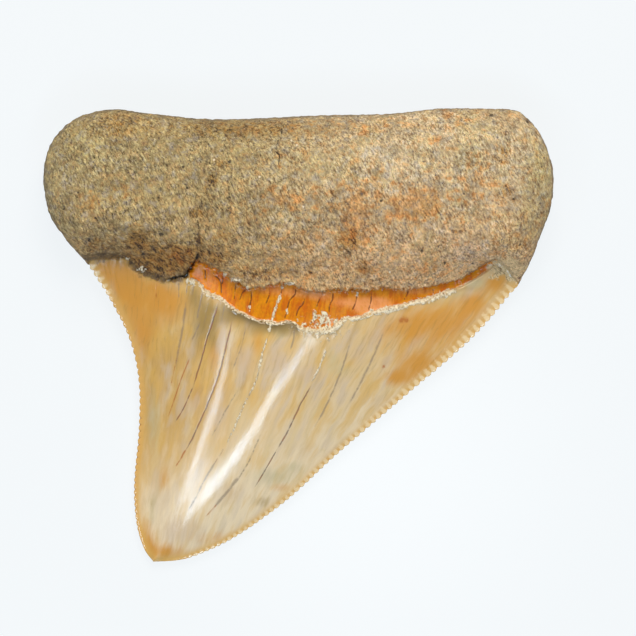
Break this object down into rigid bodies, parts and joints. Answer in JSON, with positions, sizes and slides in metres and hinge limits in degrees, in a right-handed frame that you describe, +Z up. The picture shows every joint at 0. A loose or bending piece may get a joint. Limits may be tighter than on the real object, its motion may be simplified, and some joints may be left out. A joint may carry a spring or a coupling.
{
  "type": "fossil shark tooth",
  "caption": "Triangular serrated fossil shark tooth with a curved crown, a bourlette and a broad rough root, lying on its flatter side.",
  "frame": {"origin": "on the surface the tooth lies on, under the middle of its box", "axes": "+Z up, out of the bulging lingual side; +X along the root from the short cutting edge to the long one; +Y from the tip towards the root"},
  "size_m": [0.06, 0.0534, 0.0126],
  "materials": {
    "tooth": "weathered grainy brown root, glossy orange bourlette, polished cream and amber enamel"
  },
  "bodies": {
    "root": {"tooth": "tooth"}
  },
  "joints": []
}
